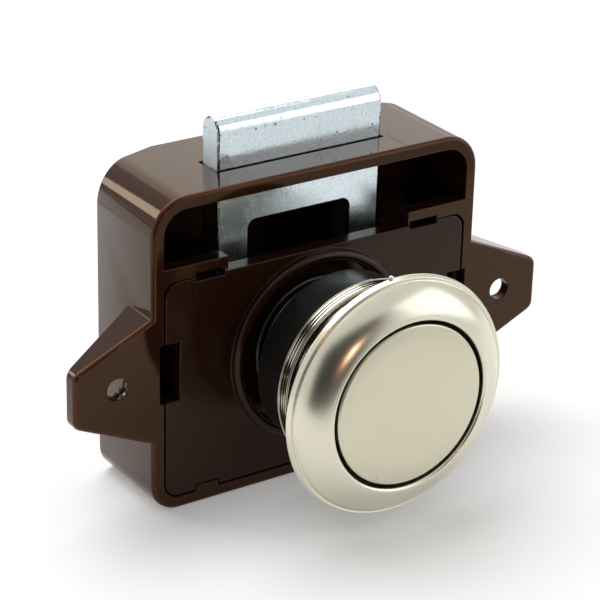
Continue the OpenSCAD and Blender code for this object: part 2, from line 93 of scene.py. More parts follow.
class LockSizes(PropertyGroup):
    """Sizes of the finished surfaces; those of the solids come from model.glb."""

    case_width: FloatProperty(
        name="Case width", description="Width of the case between its ears",
        default=50 * MM, min=48 * MM, max=58 * MM, precision=5, unit="LENGTH")
    case_wall: FloatProperty(
        name="Case wall", description="Thickness of the case's walls",
        default=1.75 * MM, min=1.4 * MM, max=2.2 * MM, precision=5, unit="LENGTH")
    back_wall: FloatProperty(
        name="Back wall", description="Thickness of the case's back",
        default=1.5 * MM, min=1.2 * MM, max=2 * MM, precision=5, unit="LENGTH")
    top_corner: FloatProperty(
        name="Upper corner radius", description="Radius of the case's two upper corners",
        default=5 * MM, min=4 * MM, max=7 * MM, precision=5, unit="LENGTH")
    bottom_corner: FloatProperty(
        name="Lower corner radius", description="Radius of the case's two lower corners",
        default=4 * MM, min=3 * MM, max=6 * MM, precision=5, unit="LENGTH")
    hole_spacing: FloatProperty(
        name="Hole spacing", description="Distance between the two screw holes",
        default=60 * MM, min=58 * MM, max=70 * MM, precision=5, unit="LENGTH")
    hole: FloatProperty(
        name="Screw hole", description="Diameter of a screw hole",
        default=3 * MM, min=2.8 * MM, max=4.2 * MM, precision=5, unit="LENGTH")
    edge: FloatProperty(
        name="Outer edge radius", description="Rounding of the case's outer front edges",
        default=0.55 * MM, min=0.1 * MM, max=0.8 * MM, precision=5, unit="LENGTH")
    fine_edge: FloatProperty(
        name="Fine edge radius", description="Rounding of all other moulded edges",
        default=0.14 * MM, min=0.02 * MM, max=0.3 * MM, precision=5, unit="LENGTH")
    bolt_edge: FloatProperty(
        name="Bolt edge radius", description="Rounding of the latch bolt's edges",
        default=0.28 * MM, min=0.05 * MM, max=0.5 * MM, precision=5, unit="LENGTH")
    rim: FloatProperty(
        name="Rim height", description="How far the rosette's rim stands forward of its seat",
        default=1.0 * MM, min=0.6 * MM, max=1.4 * MM, precision=5, unit="LENGTH")
    rim_rounding: FloatProperty(
        name="Rim rounding", description="Rounding at the back of the rosette's rim",
        default=0.3 * MM, min=0.1 * MM, max=0.5 * MM, precision=5, unit="LENGTH")
    crease: FloatProperty(
        name="Crease", description="Height of the dome's foot over the door's front",
        default=0.45 * MM, min=0.3 * MM, max=0.6 * MM, precision=5, unit="LENGTH")
    dome: FloatProperty(
        name="Dome radius", description="Radius of the rosette's domed front in section",
        default=5.5 * MM, min=4.5 * MM, max=9 * MM, precision=5, unit="LENGTH")
    barrel: FloatProperty(
        name="Barrel radius", description="Radius of the rosette's barrel over its ridges",
        default=13.2 * MM, min=13 * MM, max=14 * MM, precision=5, unit="LENGTH")
    groove: FloatProperty(
        name="Groove depth", description="Depth of the grooves between the barrel's ridges",
        default=0.4 * MM, min=0.1 * MM, max=0.5 * MM, precision=5, unit="LENGTH")
    spring_wire: FloatProperty(
        name="Spring wire", description="Diameter of the main spring's wire",
        default=0.9 * MM, min=0.5 * MM, max=1 * MM, precision=5, unit="LENGTH")
    spring_turns: IntProperty(
        name="Spring turns", description="Open turns of the spring between its closed ends",
        default=4, min=2, max=8)
    around: IntProperty(
        name="Steps round", description="Mesh steps round a turned piece",
        default=360, min=48, max=480)


class LockFinishes(PropertyGroup):
    """Colours of the finishes."""

    brown: FloatVectorProperty(
        name="Brown plastic", description="Colour of the moulded case and cover plate",
        default=(0.027, 0.0094, 0.0048), size=3, min=0, max=1, subtype="COLOR")
    brown_edge: FloatVectorProperty(
        name="Brown plastic at edges",
        description="Warmer colour where light comes through a thin edge",
        default=(0.062, 0.0185, 0.0098), size=3, min=0, max=1, subtype="COLOR")
    zinc: FloatVectorProperty(
        name="Zinc plating", description="Colour of the latch bolt",
        default=(0.76, 0.865, 0.905), size=3, min=0, max=1, subtype="COLOR")
    nickel: FloatVectorProperty(
        name="Satin nickel", description="Colour of the button",
        default=(0.635, 0.607, 0.470), size=3, min=0, max=1, subtype="COLOR")
    cast_nickel: FloatVectorProperty(
        name="Cast nickel", description="Colour of the rosette",
        default=(0.72, 0.69, 0.565), size=3, min=0, max=1, subtype="COLOR")
    black: FloatVectorProperty(
        name="Black plastic", description="Colour of the knob body and the slider",
        default=(0.010, 0.0092, 0.0080), size=3, min=0, max=1, subtype="COLOR")
    steel: FloatVectorProperty(
        name="Dark steel", description="Colour of the springs and pins",
        default=(0.09, 0.087, 0.084), size=3, min=0, max=1, subtype="COLOR")
    paper: FloatVectorProperty(
        name="Floor", description="Colour of the floor and the backdrop",
        default=(0.93, 0.93, 0.93), size=3, min=0, max=1, subtype="COLOR")
    plastic_gloss: FloatVectorProperty(
        name="Gloss of the case", description="Tint of the light that the case mirrors",
        default=(1.0, 0.60, 0.34), size=3, min=0, max=1, subtype="COLOR")
    cover_gloss: FloatVectorProperty(
        name="Gloss of the cover plate", description="Tint of the light that the cover plate mirrors",
        default=(1.0, 0.76, 0.62), size=3, min=0, max=1, subtype="COLOR")
    # Painted light: the flash's pale colour stands for light that shines through the thin plastic
    flash: FloatVectorProperty(
        name="Flash", description="Colour of the torn and whitened plastic in the screw holes",
        default=(0.30, 0.26, 0.23), size=3, min=0, max=1, subtype="COLOR")


# Shader writing


class Wire:
    """An output socket that takes part in Python expressions; every operator adds one Math node."""

    def __init__(self, shading, socket):
        self.shading = shading
        self.socket = socket

    def math(self, operation, *values):
        return self.shading.node("ShaderNodeMath", {"operation": operation}, dict(enumerate(values)))

    def __add__(self, other):
        return self.math("ADD", self, other)

    __radd__ = __add__

    def __sub__(self, other):
        return self.math("SUBTRACT", self, other)

    def __rsub__(self, other):
        return self.math("SUBTRACT", other, self)

    def __mul__(self, other):
        return self.math("MULTIPLY", self, other)

    __rmul__ = __mul__

    def larger(self, other):
        return self.math("MAXIMUM", self, other)

    def wave(self):
        return self.math("SINE", self)

    def size(self):
        return self.math("ABSOLUTE", self)


class Shading:
    """The nodes of a material or a world that is being written: one method makes every node."""

    def __init__(self, owner):
        self.owner = owner
        owner.use_nodes = True
        self.tree = owner.node_tree
        self.tree.nodes.clear()

    def node(self, kind, settings=None, sockets=None, output=0):
        """Makes a node, applies its settings, then sets or links its sockets, and returns an output."""
        made = self.tree.nodes.new(kind)
        for key, value in (settings or {}).items():
            setattr(made, key, value)
        for key, value in (sockets or {}).items():
            if isinstance(value, Wire):
                self.tree.links.new(value.socket, made.inputs[key])
            elif made.inputs[key].type == "RGBA" and len(value) == 3:
                made.inputs[key].default_value = (*value, 1.0)
            else:
                made.inputs[key].default_value = value
        return None if output is None else Wire(self, made.outputs[output])

    def seen_directly(self):
        """1 for the rays of the camera and those that a mirror or glass sends on, 0 for all others."""
        camera, mirror, glass = (
            self.node("ShaderNodeLightPath", output=kind)
            for kind in ("Is Camera Ray", "Is Glossy Ray", "Is Transmission Ray"))
        return camera.larger(mirror).larger(glass)

    def place(self):
        """Object coordinates, in metres."""
        return self.node("ShaderNodeTexCoord", output="Object")

    def axis(self, where, name):
        """One coordinate of a place."""
        return self.node("ShaderNodeSeparateXYZ", {}, {"Vector": where}, name)

    def stretched(self, where, scale, turn):
        """Coordinates scaled and turned, for a pattern that is drawn out."""
        return self.node("ShaderNodeMapping", {}, {"Vector": where, "Scale": scale, "Rotation": turn})

    def noise(self, where, scale, detail=2.0, roughness=0.5):
        """Noise of so many waves a metre, from about 0 to 1."""
        return self.node("ShaderNodeTexNoise", {"noise_dimensions": "3D"}, {
            "Vector": where, "Scale": scale, "Detail": detail, "Roughness": roughness})

    def between(self, value, low, high):
        """Maps low to high onto 0 to 1, smoothly and with stops at both ends."""
        return self.node("ShaderNodeMapRange", {"interpolation_type": "SMOOTHSTEP"}, {
            "Value": value, "From Min": low, "From Max": high, "To Min": 0.0, "To Max": 1.0})

    def mixed(self, share, first, second):
        """Mix of two colours."""
        return self.node("ShaderNodeMix", {"data_type": "RGBA"}, {0: share, 6: first, 7: second}, 2)

    def bump(self, height, strength, distance):
        """Normal over a relief of a given depth."""
        return self.node("ShaderNodeBump", {}, {
            "Height": height, "Strength": strength, "Distance": distance})

    def surface(self, **sockets):
        """Principled shader on the material's output; underscores in names stand for spaces."""
        named = {key.replace("_", " "): value for key, value in sockets.items()}
        shader = self.node("ShaderNodeBsdfPrincipled", {}, named)
        self.node("ShaderNodeOutputMaterial", {}, {"Surface": shader}, None)
        return self.owner


# Finishes


def brown_plastic(name, colour, gloss, hollow=None, weld=None, matt=0.05, level=0.44):
    """Glossy moulded plastic: slow flow shades, faint rub marks along X, fine ripple and rare dust. In a
    hollow, given as half its width, its top, its front and its back, the mould has left it matt, and there
    the colour is halved as painted shade. A weld is a duller line along Y: its X, its rear end and the
    height of the face that it lies in."""
    f = Shading(bpy.data.materials.new(name))
    where = f.place()
    flow = f.noise(where, 70.0, 3.0)
    ripple = f.noise(where, 900.0, 2.0)
    drawn = f.stretched(where, (120.0, 1500.0, 2600.0), (0.0, 0.5, 0.2))
    rub = f.between(f.noise(drawn, 1.0, 4.0), 0.60, 0.74)
    dust = f.between(f.noise(where, 2600.0, 1.0), 0.76, 0.80)
    shade = f.mixed(flow, [c * 0.80 for c in colour], [c * 1.25 for c in colour])
    dust_and_painted_shade = f.mixed(dust * 0.45, shade, (0.20, 0.17, 0.15))
    rough = matt + flow * 0.05 + rub * 0.06 + dust * 0.3
    if hollow is not None:
        half, top, front, back = hollow
        inside = f.between(f.axis(where, "X").size(), half + 0.3 * MM, half + 0.1 * MM)
        inside = inside * f.between(f.axis(where, "Z"), top + 0.3 * MM, top + 0.1 * MM)
        inside = inside * f.between(f.axis(where, "Y"), front, front + 0.5 * MM)
        inside = inside * f.between(f.axis(where, "Y"), back + 0.3 * MM, back + 0.1 * MM)
        rough = rough + inside * 0.45
        # Painted shade: inside the hollow the colour falls to half, for the shade in the case's interior
        dust_and_painted_shade = f.mixed(inside, dust_and_painted_shade, [c * 0.5 for c in colour])
    if weld is not None:
        x, end, top = weld
        line = f.between((f.axis(where, "X") - x).size(), 0.16 * MM, 0.05 * MM)
        line = line * f.between(f.axis(where, "Y"), end, end - 0.3 * MM)
        rough = rough + line * f.between(f.axis(where, "Z"), top - 0.4 * MM, top - 0.2 * MM) * 0.4
    return f.surface(
        Base_Color=dust_and_painted_shade,
        Roughness=rough,
        Normal=f.bump(ripple * 0.5 + flow * 2.0, 0.10, 0.00006),
        Specular_IOR_Level=level,
        Specular_Tint=gloss)


def zinc_plate(name, colour, seam=None, end=None, wear=0.0):
    """Bright zinc on rolled steel: cloudy patches, fine crystals, an uneven mottle and dark pits. The pits
    crowd along a seam at a given height, where the rounded nose begins. Past a given distance from the
    middle lie the rough sheared ends, and the plating is duller low in the case. Wear breaks it up into
    dark flakes."""
    f = Shading(bpy.data.materials.new(name))
    where = f.place()
    cloud = f.noise(where, 300.0, 4.0, 0.6)
    grain = f.noise(where, 2600.0, 3.0, 0.65)
    speck = f.noise(where, 1700.0, 2.0)
    mottle = f.noise(where, 1250.0, 4.0, 0.7)
    pits = f.between(speck, 0.70, 0.76)
    if seam is not None:
        near = f.between((f.axis(where, "Z") - seam).size(), 0.35 * MM, 0.1 * MM)
        pits = pits.larger(near * f.between(speck, 0.60, 0.67))
    flakes = f.between(f.noise(where, 1100.0, 3.0, 0.7), 0.40, 0.50) * wear
    crystals = f.between(grain, 0.30, 0.68)
    shade = f.mixed(crystals, [c * 0.90 for c in colour], [min(1.0, c * 1.06) for c in colour])
    clouded = f.mixed(f.between(cloud, 0.55, 0.75) * 0.22, shade, [c * 0.62 for c in colour])
    pitted = f.mixed((pits * 0.7).larger(flakes), clouded, (0.10, 0.095, 0.09))
    rough = 0.06 + f.between(cloud, 0.35, 0.7) * 0.10 + grain * 0.05
    if end is not None:
        sheared = f.between(f.axis(where, "X").size(), end - 0.2 * MM, end - 0.05 * MM)
        height, top = f.axis(where, "Z"), CASE_HIGH[2]
        rough = rough + sheared * f.between(height, top - 1 * MM, top) * 0.45
        rough = rough + f.between(height, top - 2 * MM, top - 7 * MM) * 0.17
    return f.surface(
        Base_Color=pitted,
        Metallic=1.0,
        Roughness=rough,
        Normal=f.bump(grain + cloud * 1.5 + mottle * 2.0, 0.22, 0.00004))


def satin_nickel(name, colour, roughness, polished=None, marks=()):
    """Satin nickel plating: an even fine grain with slow shades in the polish. Behind a given distance out
    the metal is left bright, with fine turned lines, and its colour is darkened to three quarters as
    painted shade. A mark is a scratch: its middle in X and Z, half its length, half its width and its turn."""
    f = Shading(bpy.data.materials.new(name))
    where = f.place()
    grain = f.noise(where, 5200.0, 2.0, 0.6)
    polish = f.noise(where, 120.0, 3.0)
    shade = f.mixed(polish, [c * 0.96 for c in colour], [min(1.0, c * 1.04) for c in colour])
    rough = roughness - 0.04 + polish * 0.05 + grain * 0.03
    relief = grain
    if polished is not None:
        depth = f.axis(where, "Y")
        satin = f.between(depth * -1.0, polished - 0.1 * MM, polished + 0.1 * MM)
        bright, line_spacing = 0.13, 0.5 * MM
        rough = bright + (rough - bright) * satin
        relief = relief + (depth * (math.tau / line_spacing)).wave() * (1.0 - satin) * 3.2
        # Painted shade: behind the given distance out the colour falls to three quarters
        shade = f.mixed(satin, [c * 0.75 for c in colour], shade)
    for x, z, length, width, turn in marks:
        dx, dz = f.axis(where, "X") - x, f.axis(where, "Z") - z
        along = dx * math.cos(turn) + dz * math.sin(turn)
        across = dz * math.cos(turn) - dx * math.sin(turn)
        mark = f.between(along.size(), length, length * 0.7)
        mark = mark * f.between(across.size(), width, width * 0.4)
        shade = f.mixed(mark * 0.6, shade, [c * 0.35 for c in colour])
    return f.surface(
        Base_Color=shade,
        Metallic=1.0,
        Roughness=rough,
        Normal=f.bump(relief, 0.10, 0.00002))


def black_plastic(name, colour):
    """Satin black plastic: a fine spark-eroded grain and slow shades."""
    f = Shading(bpy.data.materials.new(name))
    where = f.place()
    grain = f.noise(where, 3800.0, 3.0, 0.6)
    shade = f.noise(where, 160.0, 2.0)
    return f.surface(
        Base_Color=f.mixed(shade, [c * 0.8 for c in colour], [c * 1.3 for c in colour]),
        Roughness=0.25 + grain * 0.06,
        Normal=f.bump(grain, 0.05, 0.00003))


def dark_steel(name, colour):
    """Oiled spring steel: a fine grain under a thin, uneven dark film."""
    f = Shading(bpy.data.materials.new(name))
    where = f.place()
    film = f.noise(where, 420.0, 4.0)
    grain = f.noise(where, 4200.0, 2.0)
    return f.surface(
        Base_Color=f.mixed(f.between(film, 0.4, 0.7), colour, [c * 0.55 for c in colour]),
        Metallic=1.0,
        Roughness=0.30 + film * 0.14 + grain * 0.06)


def white_floor(name, colour):
    """Pale floor that catches the shadow and that the camera sees as white where no shadow falls. The paper
    is painted a little greyer behind the lock, where more light falls on it: a painted shade."""
    f = Shading(bpy.data.materials.new(name))
    behind = f.between(f.axis(f.place(), "Y"), -10 * MM, 50 * MM)
    # Painted shade: the floor's colour falls to 0.93 behind the lock
    shade = f.mixed(behind, colour, [c * 0.93 for c in colour])
    paper = f.node("ShaderNodeBsdfDiffuse", {}, {"Color": shade})
    glow = f.node("ShaderNodeEmission", {}, {"Color": (1.0, 1.0, 1.0), "Strength": 0.24})
    lit = f.node("ShaderNodeAddShader", {}, {0: paper, 1: glow})
    both = f.node("ShaderNodeMixShader", {}, {0: f.seen_directly(), 1: paper, 2: lit})
    f.node("ShaderNodeOutputMaterial", {}, {"Surface": both}, None)
    return f.owner


def dark_cloth(name, colour):
    """Dark cloth of the card that stands behind the camera: a coarse weave in two shades. It thins out from
    0.55 of the way between its middle and its border, the longer of the two ways across the sheet."""
    f = Shading(bpy.data.materials.new(name))
    weave = f.noise(f.place(), 400.0, 2.0)
    sheet = f.node("ShaderNodeUVMap", {"uv_map": "sheet"})
    out = (f.axis(sheet, "X") - 0.5).size().larger((f.axis(sheet, "Y") - 0.5).size()) * 2.0
    return f.surface(
        Base_Color=f.mixed(weave, [c * 0.7 for c in colour], [c * 1.3 for c in colour]),
        Roughness=0.9,
        Alpha=f.between(out, 1.0, 0.55))


# Surfaces


def rounded_profile(corners, steps=6):
    """Profile through corners (radius, distance out, rounding): each corner is replaced by the arc that
    touches both of its sides, so a rounding of r starts r / tan(half the corner angle) before it."""
    pts = np.array([c[:2] for c in corners], float)
    rounding = np.array([c[2] for c in corners], float)
    before = np.roll(pts, 1, 0) - pts
    after = np.roll(pts, -1, 0) - pts
    before /= np.linalg.norm(before, axis=1)[:, None]
    after /= np.linalg.norm(after, axis=1)[:, None]
    half = np.arccos(np.clip((before * after).sum(1), -1, 1)) / 2
    reach = rounding / np.tan(np.clip(half, 1e-3, None))
    middle = before + after
    middle /= np.clip(np.linalg.norm(middle, axis=1), 1e-9, None)[:, None]
    centre = pts + middle * (rounding / np.sin(np.clip(half, 1e-3, None)))[:, None]
    start = pts + before * reach[:, None] - centre
    end = pts + after * reach[:, None] - centre
    a0 = np.arctan2(start[:, 1], start[:, 0])
    turn = np.arctan2(end[:, 1], end[:, 0]) - a0
    turn = (turn + np.pi) % (2 * np.pi) - np.pi
    t = np.linspace(0, 1, steps)
    angle = a0[:, None] + turn[:, None] * t
    bends = centre[:, None, :] + rounding[:, None, None] * np.stack([np.cos(angle), np.sin(angle)], 2)
    return [bend if r > 0 else bend[:1] for bend, r in zip(bends, rounding)]


def arc(middle, radius, start, end, steps):
    """Profile along a circle round its middle, from one angle to another."""
    a = np.linspace(start, end, steps)
    return middle + radius * np.stack([np.cos(a), np.sin(a)], 1)


def joined(parts):
    """One profile from pieces, with points that repeat left out."""
    line = np.concatenate(parts)
    keep = np.linalg.norm(line - np.roll(line, 1, 0), axis=1) > 1e-9
    return line[keep]


def softened(line, place, reach, count=150):
    """Profile with a soft crease: the line is spaced evenly, and near the place each point moves to the
    mean of its neighbours within the reach, by a share that falls off with the distance as a bell curve."""
    gone = np.concatenate([[0.0], np.cumsum(np.linalg.norm(np.diff(line, axis=0), axis=1))])
    even = np.linspace(0, gone[-1], count)
    spaced = np.stack([np.interp(even, gone, line[:, k]) for k in (0, 1)], 1)
    span = max(int(reach / even[1]), 1)
    padded = np.pad(spaced, ((span, span), (0, 0)), mode="edge")
    mean = np.mean([padded[k:k + len(spaced)] for k in range(2 * span + 1)], axis=0)
    bell = 1.5 * reach
    share = np.exp(-(np.linalg.norm(spaced - place, axis=1) / bell) ** 2)[:, None]
    return spaced + (mean - spaced) * share


def placed(name, data):
    """New object of the scene, at the origin."""
    made = bpy.data.objects.new(name, data)
    bpy.context.scene.collection.objects.link(made)
    return made


def finish_piece(piece, body, slot, *materials):
    """Materials, smooth shading and body of a piece; its slot is not used."""
    mesh = piece.data
    mesh.materials.clear()
    for material in materials:
        mesh.materials.append(material)
    mesh.polygons.foreach_set("use_smooth", np.ones(len(mesh.polygons), bool))
    mesh.set_sharp_from_angle(angle=SMOOTH)
    if body:
        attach(piece, body)


def new_piece(name, points, faces, body, slot, *materials):
    """Mesh object from points and faces, smooth, riding on a body."""
    mesh = bpy.data.meshes.new(name)
    mesh.from_pydata(points, [], faces)
    mesh.validate()
    piece = placed(name, mesh)
    finish_piece(piece, body, slot, *materials)
    return piece


def closed_grid(grid, turned_over=False):
    """Surface over a grid of points that closes on itself both ways."""
    n, m = grid.shape[:2]
    i, j = np.meshgrid(np.arange(n), np.arange(m), indexing="ij")
    i2, j2 = (i + 1) % n, (j + 1) % m
    quads = np.stack([i * m + j, i * m + j2, i2 * m + j2, i2 * m + j], 2).reshape(-1, 4)
    return grid.reshape(-1, 3), (quads[:, ::-1] if turned_over else quads).tolist()


def turned(profile, around):
    """Profile carried round the knob's axis: a point is (r cos t, -out, axis height + r sin t)."""
    t = np.arange(around) * (2 * np.pi / around)
    r, out = profile[:, 0], profile[:, 1]
    return np.stack([np.outer(np.cos(t), r), np.broadcast_to(-out, (around, len(out))),
                     AXIS_Z + np.outer(np.sin(t), r)], 2)


def loop_area(line):
    """Twice the area inside a closed line, negative where the line runs clockwise."""
    ahead = np.roll(line, -1, 0)
    return np.sum(line[:, 0] * ahead[:, 1] - ahead[:, 0] * line[:, 1])


def turned_ring(profile, around):
    """Closed profile carried round the knob's axis, with its faces outwards."""
    return closed_grid(turned(profile, around), loop_area(profile) < 0)


def turned_solid(profile, around):
    """Profile from axis to axis carried round the knob's axis, with one point at each pole."""
    inner = profile[1:-1]
    n = len(inner)
    poles = np.array([[0.0, -profile[0, 1], AXIS_Z], [0.0, -profile[-1, 1], AXIS_Z]])
    pts = np.concatenate([turned(inner, around).reshape(-1, 3), poles])
    i, j = np.meshgrid(np.arange(around), np.arange(n - 1), indexing="ij")
    i2 = (i + 1) % around
    quads = np.stack([i * n + j, i * n + j + 1, i2 * n + j + 1, i2 * n + j], 2).reshape(-1, 4)
    k = np.arange(around)
    k2 = (k + 1) % around
    first = np.stack([np.full(around, around * n), k * n, k2 * n], 1)
    last = np.stack([np.full(around, around * n + 1), k2 * n + n - 1, k * n + n - 1], 1)
    if loop_area(profile) < 0:
        quads, first, last = quads[:, ::-1], first[:, ::-1], last[:, ::-1]
    return pts, quads.tolist() + first.tolist() + last.tolist()


def tube(path, radius, sides):
    """Round tube along a path of points: a circle across the path's direction at each point."""
    ahead = np.gradient(path, axis=0)
    ahead /= np.linalg.norm(ahead, axis=1)[:, None]
    side = np.cross(ahead, [0.0, 1.0, 0.0])
    side /= np.linalg.norm(side, axis=1)[:, None]
    up = np.cross(side, ahead)
    a = np.arange(sides) * (2 * np.pi / sides)
    ring = side[:, None, :] * np.cos(a)[None, :, None] + up[:, None, :] * np.sin(a)[None, :, None]
    pts = (path[:, None, :] + radius * ring).reshape(-1, 3)
    n = len(path)
    i, j = np.meshgrid(np.arange(n - 1), np.arange(sides), indexing="ij")
    j2 = (j + 1) % sides
    quads = np.stack([i * sides + j, i * sides + j2, (i + 1) * sides + j2, (i + 1) * sides + j], 2)
    caps = [list(range(sides))[::-1], list(range((n - 1) * sides, n * sides))]
    return pts, quads.reshape(-1, 4).tolist() + caps


def flat_sheet(name, middle, across, along, material):
    """Flat rectangle of the stage: its middle plus every mix of two half sides."""
    middle, across, along = (np.array(v) for v in (middle, across, along))
    corners = [middle + i * across + j * along for i, j in ((-1, -1), (1, -1), (1, 1), (-1, 1))]
    mesh = bpy.data.meshes.new(name)
    mesh.from_pydata([tuple(corner) for corner in corners], [], [(0, 1, 2, 3)])
    mesh.uv_layers.new(name="sheet").data.foreach_set("uv", [0, 0, 1, 0, 1, 1, 0, 1])
    mesh.materials.append(material)
    sheet = placed(name, mesh)
    return sheet


def edge_rounded(name, node, body, slot, rounds, *materials):
    """Copy of a CAD node whose sharp edges are rounded: the copy is merged and its flat faces are joined. A
    round is (label, choice, width, material): it takes the sharp edges that its choice picks by their place
    and that no round before it took, and one Bevel modifier rounds them; a material of -1 is that of the
    faces beside it."""
    mesh = NODES[node].data.copy()
    mesh.name = name
    b = bmesh.new()
    b.from_mesh(mesh)
    bmesh.ops.remove_doubles(b, verts=b.verts, dist=MERGED)
    bmesh.ops.dissolve_limit(b, angle_limit=FLAT, verts=b.verts, edges=b.edges, use_dissolve_boundaries=False)
    bmesh.ops.recalc_face_normals(b, faces=b.faces)
    b.to_mesh(mesh)
    left = np.array([e.calc_face_angle(0.0) for e in b.edges]) > SHARP
    b.free()
    co = np.empty(len(mesh.vertices) * 3)
    mesh.vertices.foreach_get("co", co)
    ends = np.empty(len(mesh.edges) * 2, int)
    mesh.edges.foreach_get("vertices", ends)
    pairs = co.reshape(-1, 3)[ends.reshape(-1, 2)]
    piece = placed(name, mesh)
    finish_piece(piece, body, slot, *materials)
    mesh.polygons.foreach_set("material_index", np.zeros(len(mesh.polygons), np.int32))
    for label, choice, width, material in rounds:
        chosen = left & choice(pairs)
        left &= ~chosen
        weight = f"{label} weight"
        mesh.attributes.new(weight, "FLOAT", "EDGE").data.foreach_set("value", chosen.astype(float))
        mod = piece.modifiers.new(label, "BEVEL")
        mod.limit_method = "WEIGHT"
        mod.edge_weight = weight
        mod.width = width
        mod.segments = BEVEL_STEPS
        mod.use_clamp_overlap = False
        mod.harden_normals = True
        mod.material = material
    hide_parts(node)
    return piece


def every_edge(pairs):
    return np.ones(len(pairs), bool)


# Pieces


class LOCK_OT_case(Operator):
    """Moulded case with rounded edges, warmer where light comes through them"""

    bl_idname = "lock.case"
    bl_label = "Moulded case"

    def execute(self, context):
        s, c = context.scene.lock_sizes, context.scene.lock_finishes
        low, high = np.array(CASE_LOW), np.array(CASE_HIGH)
        half = s.case_width / 2
        near = 0.05 * MM
        hollow_front = 1.5 * MM
        weld_x, weld_end = 13.6 * MM, 5.6 * MM

        def front_outline(pairs):
            on_front = np.all(np.abs(pairs[:, :, 1] - low[1]) < 1e-6, axis=1)
            x = np.abs(pairs[:, :, 0]).max(1)
            z = pairs[:, :, 2].mean(1)
            outside = (x > half - near) | (z > high[2] - near) | (z < low[2] + near)
            for radius, turn, end in ((s.top_corner, 1, high[2]), (s.bottom_corner, -1, -low[2])):
                dx, dz = x - (half - radius), turn * z - (end - radius)
                outside |= (np.hypot(dx, dz) > radius - 2 * near) & (dx > 0) & (dz > 0)
            hole = np.hypot(x - s.hole_spacing / 2, z) < s.hole / 2 + 2 * near
            return on_front & outside & ~hole

        hollow = half - s.case_wall, high[2] - s.case_wall, hollow_front, high[1] - s.back_wall
        weld = weld_x, weld_end, high[2]
        edge_rounded("moulded_case", "case", "root", "brown_plastic",
                     (("Outer edges", front_outline, s.edge, 1), ("Fine edges", every_edge, s.fine_edge, -1)),
                     brown_plastic("brown_plastic", c.brown, c.plastic_gloss, hollow, weld),
                     brown_plastic("brown_plastic_edges", c.brown_edge, c.plastic_gloss))
        return {"FINISHED"}


class LOCK_OT_flash(Operator):
    """Thin flash that the mould left in the screw holes: a flat ring. Its inner edge reaches furthest into
    the hole on one side, by a squared cosine, and two waves round the hole make it ragged"""

    bl_idname = "lock.flash"
    bl_label = "Flash in the screw holes"

    def execute(self, context):
        s, c = context.scene.lock_sizes, context.scene.lock_finishes
        plastic = brown_plastic("brown_plastic_flash", c.flash, c.plastic_gloss)
        rim = s.hole / 2
        # How deep the flash sits in the hole's wall, and how far it stands out where it is least
        rooted, least = 0.03 * MM, 0.02 * MM
        front, back = 1.25 * MM, 1.38 * MM
        steps = 160
        t = np.arange(steps) * (2 * np.pi / steps)
        ragged = 0.55 + 0.3 * np.sin(9 * t + 1) + 0.15 * np.cos(23 * t)
        for name, x, widest, reach in (("left_flash", -s.hole_spacing / 2, -0.95, 0.45 * rim),
                                       ("right_flash", s.hole_spacing / 2, -2.2, 0.12 * rim)):
            inner = rim - least - reach * ragged * np.clip(np.cos(t - widest), 0, 1) ** 2
            outer = np.full_like(t, rim + rooted)
            radius = np.stack([outer, inner, inner, outer], 1)
            depth = np.broadcast_to([front, front, back, back], radius.shape)
            grid = np.stack([x + radius * np.cos(t)[:, None], depth, radius * np.sin(t)[:, None]], 2)
            new_piece(name, *closed_grid(grid), "root", "brown_plastic", plastic)
        return {"FINISHED"}


class LOCK_OT_cover(Operator):
    """Cover plate with its collar, snap legs and lightly rounded edges"""

    bl_idname = "lock.cover"
    bl_label = "Cover plate"

    def execute(self, context):
        s, c = context.scene.lock_sizes, context.scene.lock_finishes
        edge_rounded("moulded_cover", "cover_plate", "root", "brown_plastic",
                     (("Fine edges", every_edge, s.fine_edge, -1),),
                     brown_plastic("brown_plastic_cover", c.brown, c.cover_gloss, matt=0.15, level=0.28))
        return {"FINISHED"}


class LOCK_OT_bolt(Operator):
    """Zinc plated latch bolt with tumbled edges"""

    bl_idname = "lock.bolt"
    bl_label = "Latch bolt"

    def execute(self, context):
        s, c = context.scene.lock_sizes, context.scene.lock_finishes
        seam = BOLT_HIGH[2] - (BOLT_HIGH[1] - BOLT_LOW[1]) / 2
        edge_rounded("plated_bolt", "latch_bolt", "bolt", "zinc_plated_steel",
                     (("Worn edges", every_edge, s.bolt_edge, 1),),
                     zinc_plate("zinc_plate", c.zinc, seam, BOLT_HIGH[0]),
                     zinc_plate("zinc_plate_edges", c.zinc, wear=0.9))
        return {"FINISHED"}


